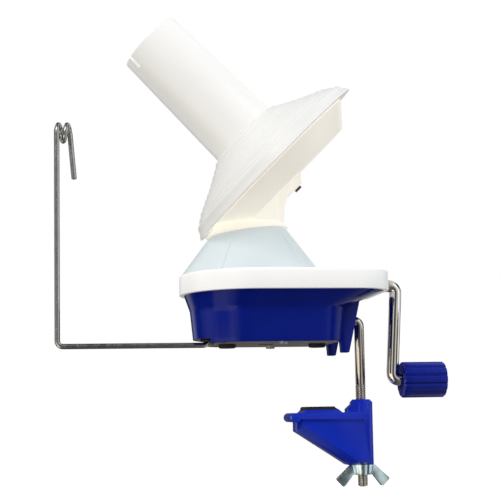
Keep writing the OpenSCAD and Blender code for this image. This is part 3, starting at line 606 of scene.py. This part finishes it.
def build_feet():
    foot = lathe(rounded([(0.01, 0), (4.7, 0), (5.2, SHELL_Z0), (0.01, SHELL_Z0)], 0.7, 3, False), 48, False)
    return stand_for("rubber_feet", joined(*[moved(foot, Matrix.Translation((x, 0, 0))) for x in FEET_X]))


# ---------- bobbin ----------
PLATE_CURVE = [(TUBE_R0, TUBE_FOOT), (25.3, -1.45), (36.9, 5), (49.8, 11), (57.2, 15.9), (PLATE_R, RIM_S)]


def plate_height(r):
    for (r0, s0), (r1, s1) in zip(PLATE_CURVE, PLATE_CURVE[1:]):
        if r <= r1:
            return s0 + (s1 - s0) * (r - r0) / (r1 - r0)
    return RIM_S


def build_plate():
    fine = 10
    top = []
    for i in range(RIDGES * fine + 1):
        r = RIDGE_R0 + RIDGE_PITCH * i / fine
        swell = abs(math.sin(math.pi * i / fine)) ** 0.7
        top.append((r, plate_height(r) - RIDGE_H * swell))
    rim = rounded([(59.4, 18.9), (60.4, 20.1), (PLATE_R, RIM_S), (53.8, RIM_S), (53.8, RIM_S - 1.6),
                   (58.6, RIM_S - 1.6), (55.6, 17)], 0.4, 3, False)
    sleeve_top = TUBE_FOOT - 1.2
    under = [(48.7, 12.8), (36, 7), (24.3, 0.65), (20, -1.8), (7.4, -1.8), (7.4, 24), (5.05, 24),
             (5.05, sleeve_top), (16.8, sleeve_top), (16.8, SPIGOT_S), (18.75, SPIGOT_S), (18.75, TUBE_FOOT)]
    profile = [(TUBE_R0, TUBE_FOOT)] + top + [tuple(p) for p in rim] + under
    return stand_for("yarn_plate", lathe(profile, 180), SPINDLE, sharp=42)


def build_tube():
    profile = rounded([(TUBE_BORE, TUBE_FOOT), (TUBE_R0, TUBE_FOOT), (TUBE_R1, 0.5 - TUBE_END),
                       (TUBE_R1 - 0.4, -TUBE_END), (BORE_END, -TUBE_END),
                       (BORE_END, WEB_S), (SHAFT_R + 0.05, WEB_S), (SHAFT_R + 0.05, WEB_S + 10), (7, WEB_S + 10),
                       (7, WEB_S + 3), (BORE_END, WEB_S + 3), (TUBE_BORE, SPIGOT_S)], 0.5)
    piece = stand_for("winding_tube", lathe(profile, 144), SPINDLE)
    slot = prism(rounded([(15, -TUBE_END - 2), (24, -TUBE_END - 2), (24, -TUBE_END + 8), (15, -TUBE_END + 8)], 0.2),
                 -1, 1)
    cut(piece, slot, SPINDLE @ Matrix.Rotation(math.radians(-28), 4, "Z"))
    return piece


# ---------- crank, guide and clamp ----------
def build_crank():
    path = rounded([(ROD_START, 0, CRANK_Z), (ARM_TOP_X, 0, CRANK_Z), (ARM_FOOT_X, 0, GRIP_Z), (rod_high.x, 0, GRIP_Z)],
                   ARM_BEND + 0.6, 10, False)
    return stand_for("crank_rod", sweep(path, CRANK_R, 40))


def build_grip():
    """Fluted grip: the radius dips into twelve grooves that run out on the rounded ends."""
    flutes, steps = 12, 240
    length = grip_high.x - grip_low.x
    dome = 1.1
    rings = []
    outer = [(0.0, 0.0)]
    for k in range(1, 7):
        a = math.pi / 2 * k / 6
        outer.append((dome * (1 - math.cos(a)), math.sin(a)))
    outer += [(length * t, 1.0) for t in (0.2, 0.4, 0.6, 0.8)]
    outer += [(length - x, f) for x, f in reversed(outer[:7])]
    for x, f in outer:
        ring = []
        for k in range(steps):
            a = math.tau * k / steps
            wave = (k * flutes / steps) % 1
            groove = math.exp(-((wave - 0.5) / 0.13) ** 2)
            r = GRIP_R - dome * (1 - f) - 0.95 * groove * (0.35 + 0.65 * f)
            ring.append((r * math.cos(a), r * math.sin(a), x))
        rings.append(ring)
    ends = [(5.6, length), (5.6, length - 3), (CRANK_R + 0.08, length - 3.1), (CRANK_R + 0.08, 2.4), (5.6, 0)]
    for r, x in ends:
        rings.append([(r * math.cos(math.tau * k / steps), r * math.sin(math.tau * k / steps), x)
                      for k in range(steps)])
    place = Matrix.Translation((grip_low.x, 0, GRIP_Z)) @ ALONG_X
    return stand_for("crank_grip", loft(rings, closed=True), place, sharp=40)


def build_guide():
    path = rounded([(PIVOT_X, 0, 13.6), (PIVOT_X, 0, GUIDE_Z), (GUIDE_X, 0, GUIDE_Z),
                    (GUIDE_X, 0, EYELET_Z - 2)], 3.5, 9, False)
    for step in range(0, 109):
        a = math.radians(step * 5)
        path.append(Vector((GUIDE_X + EYELET_PITCH * step * 5 / 360, EYELET_R - EYELET_R * math.cos(a),
                            EYELET_Z + EYELET_R * math.sin(a))))
    end = path[-1]
    tail = Vector((TAIL_X, end.y, TAIL_Z))
    path += [end.lerp(tail, k / 6) for k in range(1, 7)]
    return stand_for("guide_wire", sweep(path, WIRE_R, 20))


def build_bushing():
    profile = rounded([(WIRE_R + 0.1, 12), (4.2, 12), (4.2, 4.9), (4.9, 4.9), (4.9, 3.8), (2.7, 3.8),
                       (2.7, 4.9), (WIRE_R + 0.1, 4.9)], 0.3)
    return stand_for("guide_bushing", lathe(profile, 48), Matrix.Translation((PIVOT_X, 0, 0)))


build_cover()
build_shell()
build_cone()
build_bolt()
build_feet()
build_plate()
build_tube()
build_crank()
build_grip()
build_guide()
build_bushing()
for node, width in (("carrier_shell", 0.5), ("clamp_jaw", 0.5), ("jaw_pad", 0.12), ("wing_nut", 0.5)):
    from_cad(node, NODE_BODY[node], MATERIALS[NODE_SLOT[node]], width)


# ---------- studio ----------
def build_floor():
    mesh = bpy.data.meshes.new("studio_floor")
    half, z = 3.0, -0.22
    mesh.from_pydata([(-half, -half, z), (half, -half, z), (half, half, z), (-half, half, z)], [], [(0, 1, 2, 3)])
    floor = bpy.data.objects.new("studio_floor", mesh)
    bpy.context.scene.collection.objects.link(floor)
    material, nodes, links, shader = start_material("pale_floor")
    shader.inputs["Base Color"].default_value = (0.9, 0.9, 0.9, 1)
    shader.inputs["Roughness"].default_value = 0.9
    shader.inputs["Emission Color"].default_value = (1, 1, 1, 1)
    shader.inputs["Emission Strength"].default_value = 0.5
    mesh.materials.append(material)
    floor.visible_glossy = False
    floor.visible_diffuse = False


def add_light(name, place, target, size, power, colour):
    data = bpy.data.lights.new(name, "AREA")
    data.shape = "RECTANGLE"
    data.size, data.size_y = size
    data.energy = power
    data.color = colour
    lamp = bpy.data.objects.new(name, data)
    lamp.location = place
    lamp.rotation_euler = (Vector(target) - Vector(place)).to_track_quat("-Z", "Y").to_euler()
    bpy.context.scene.collection.objects.link(lamp)


def build_world():
    """White surround for the camera, soft grey light, and a tent with dark gaps that only reflections see."""
    world = bpy.data.worlds.new("studio")
    world.use_nodes = True
    nodes, links = world.node_tree.nodes, world.node_tree.links
    seen = nodes.new("ShaderNodeLightPath")
    place = nodes.new("ShaderNodeTexCoord")
    split = nodes.new("ShaderNodeSeparateXYZ")
    links.new(place.outputs["Generated"], split.inputs["Vector"])
    stretch = nodes.new("ShaderNodeMapRange")
    stretch.inputs["From Min"].default_value = -1
    stretch.inputs["From Max"].default_value = 1
    links.new(split.outputs["X"], stretch.inputs["Value"])
    ramp = nodes.new("ShaderNodeValToRGB")
    links.new(stretch.outputs["Result"], ramp.inputs["Fac"])
    bands = [(0.0, 0.9), (0.05, 0.03), (0.14, 0.02), (0.19, 0.75), (0.28, 0.85), (0.33, 0.06), (0.40, 0.05),
             (0.46, 0.10), (0.60, 0.16), (0.66, 0.7), (0.78, 0.8), (0.84, 0.03), (0.93, 0.02), (1.0, 1.0)]
    for position, value in bands[1:-1]:
        stop = ramp.color_ramp.elements.new(position)
        stop.color = (value, value * 0.97, value * 0.92, 1)
    for stop, (_, value) in ((ramp.color_ramp.elements[0], bands[0]), (ramp.color_ramp.elements[-1], bands[-1])):
        stop.color = (value, value, value, 1)
    shades = {}
    for name, strength in (("white", 1.0), ("soft", 0.62), ("tent", 1.0)):
        shades[name] = nodes.new("ShaderNodeBackground")
        shades[name].inputs["Strength"].default_value = strength
        shades[name].inputs["Color"].default_value = (1, 1, 1, 1)
    links.new(ramp.outputs["Color"], shades["tent"].inputs["Color"])
    lift = nodes.new("ShaderNodeMapRange")
    lift.inputs["From Min"].default_value = -0.5
    lift.inputs["From Max"].default_value = 0.6
    lift.inputs["To Min"].default_value = 0.2
    lift.inputs["To Max"].default_value = 0.8
    links.new(split.outputs["Z"], lift.inputs["Value"])
    links.new(lift.outputs["Result"], shades["soft"].inputs["Strength"])
    glossy = nodes.new("ShaderNodeMixShader")
    links.new(seen.outputs["Is Glossy Ray"], glossy.inputs["Fac"])
    links.new(shades["soft"].outputs["Background"], glossy.inputs[1])
    links.new(shades["tent"].outputs["Background"], glossy.inputs[2])
    camera = nodes.new("ShaderNodeMixShader")
    links.new(seen.outputs["Is Camera Ray"], camera.inputs["Fac"])
    links.new(glossy.outputs["Shader"], camera.inputs[1])
    links.new(shades["white"].outputs["Background"], camera.inputs[2])
    links.new(camera.outputs["Shader"], nodes["World Output"].inputs["Surface"])
    bpy.context.scene.world = world


def build_camera():
    """Camera a little left of the object's front and below its middle, looking slightly up."""
    data = bpy.data.cameras.new("camera")
    data.lens = 85
    data.sensor_width = 36
    data.shift_y = 0.1176
    data.clip_start, data.clip_end = 0.01, 20
    turn, rise, roll = math.radians(-8), math.radians(5), math.radians(1)
    back = Vector((math.sin(turn) * math.cos(rise), -math.cos(turn) * math.cos(rise), -math.sin(rise)))
    right = Vector((math.cos(turn), math.sin(turn), 0))
    up = back.cross(right)
    right, up = right * math.cos(roll) - up * math.sin(roll), right * math.sin(roll) + up * math.cos(roll)
    camera = bpy.data.objects.new("camera", data)
    place = Matrix((right, up, back)).transposed().to_4x4()
    place.translation = Vector((-0.0944, -0.6640, -0.0362))
    camera.matrix_world = place
    bpy.context.scene.collection.objects.link(camera)
    bpy.context.scene.camera = camera


build_floor()
build_world()
build_camera()
middle = (0, 0, 0.06)
add_light("key", (-0.5, -0.7, 0.75), middle, (0.5, 0.7), 4.2, (1, 0.99, 0.97))
add_light("cool_fill", (0.8, -0.5, 0.45), middle, (0.4, 0.8), 1.6, (0.86, 0.93, 1))
add_light("warm_bounce", (-0.35, -0.25, -0.18), middle, (0.4, 0.3), 0.5, (1, 0.86, 0.62))
bpy.context.scene.view_settings.view_transform = "Standard"
